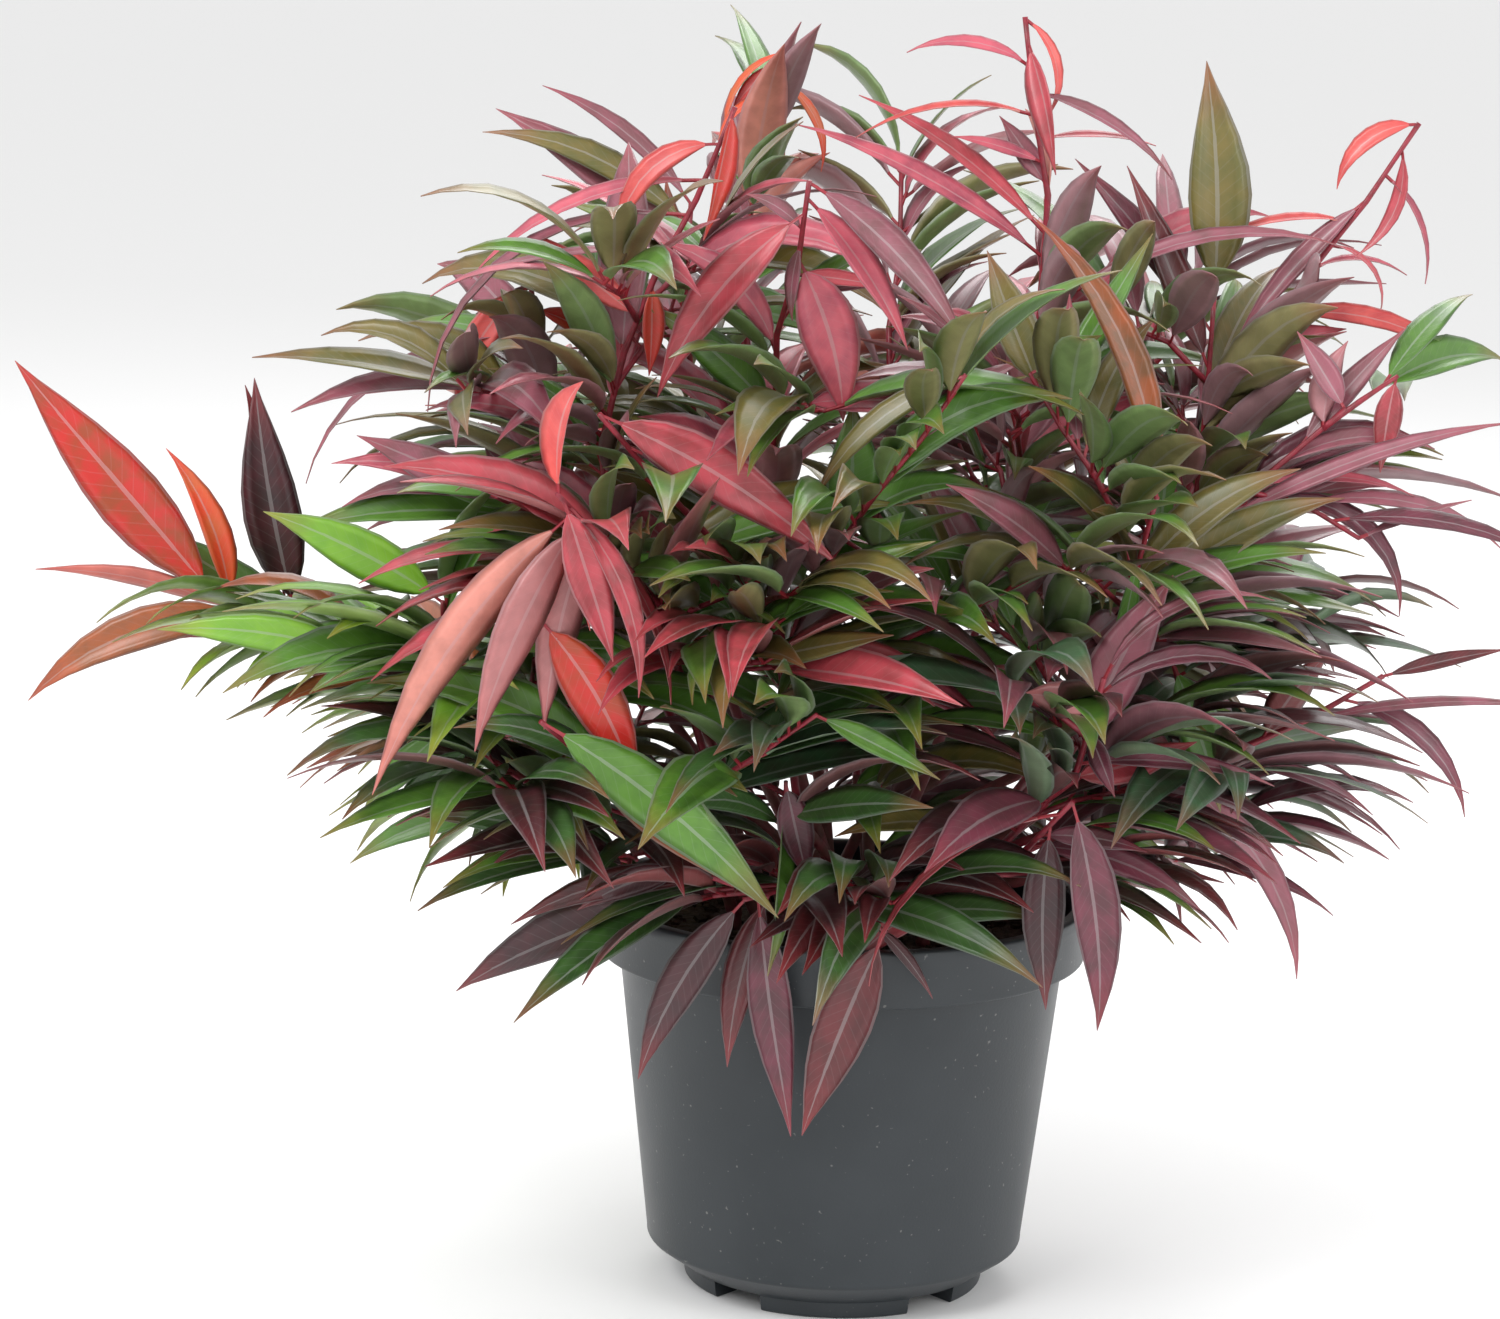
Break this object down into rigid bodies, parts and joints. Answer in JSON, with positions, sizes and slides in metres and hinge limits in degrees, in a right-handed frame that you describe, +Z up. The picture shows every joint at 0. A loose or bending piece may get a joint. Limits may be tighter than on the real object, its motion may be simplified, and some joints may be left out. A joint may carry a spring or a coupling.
{
  "type": "potted shrub",
  "caption": "Bushy evergreen shrub with long pointed red, mauve and green leaves on arching crimson stems, in a round dark plastic nursery pot.",
  "frame": {"origin": "middle of the pot's underside, on the plane that its feet stand on", "axes": "+Z up along the pot's axis, -Y towards the viewer of the picture, +X to the right in the picture"},
  "size_m": [0.5773, 0.4453, 0.4901],
  "materials": {
    "pot": "moulded anthracite plastic with a faint sheen",
    "compost": "dark crumbly bark compost",
    "wood": "rough brown bark",
    "stem": "smooth crimson young bark",
    "coral": "coral leaves with a soft gloss",
    "green": "green leaves with a soft gloss",
    "lime": "lime leaves with a soft gloss",
    "maroon": "maroon leaves with a soft gloss",
    "mauve": "mauve leaves with a soft gloss",
    "olive": "olive leaves with a soft gloss",
    "pink": "pink leaves with a soft gloss",
    "rose": "rose leaves with a soft gloss",
    "scarlet": "scarlet leaves with a soft gloss"
  },
  "bodies": {
    "root": {"pot": "pot", "compost": "compost", "root_crown": "wood", "far_left_bough": "stem", "far_left": "scarlet", "lime_left_bough": "stem", "lime_left": "lime", "low_left_bough": "stem", "low_left": "green", "front_rim_bough": "stem", "front_rim": "maroon", "hanging_bough": "stem", "hanging": "rose", "top_left_bough": "stem", "top_left": "mauve", "left_shoulder_bough": "stem", "left_shoulder": "green", "back_left_bough": "stem", "back_left": "olive", "top_curl_bough": "stem", "top_curl": "coral", "upper_mid_bough": "stem", "upper_mid": "mauve", "top_bough": "stem", "top": "pink", "upright_olive_bough": "stem", "upright_olive": "olive", "upper_right_bough": "stem", "upper_right": "pink", "right_upper_bough": "stem", "right_upper": "mauve", "right_mid_bough": "stem", "right_mid": "maroon", "right_front_bough": "stem", "right_front": "maroon", "low_right_bough": "stem", "low_right": "maroon", "front_left_bough": "stem", "front_left": "green", "centre_bough": "stem", "centre": "green", "centre_right_bough": "stem", "centre_right": "olive", "back_top_bough": "stem", "back_top": "green", "back_left_high_bough": "stem", "back_left_high": "olive", "back_left_low_bough": "stem", "back_left_low": "green", "back_mid_bough": "stem", "back_mid": "green", "back_right_high_bough": "stem", "back_right_high": "mauve", "back_right_low_bough": "stem", "back_right_low": "maroon", "back_low_bough": "stem", "back_low": "green", "right_skirt_bough": "stem", "right_skirt": "maroon"}
  },
  "joints": []
}
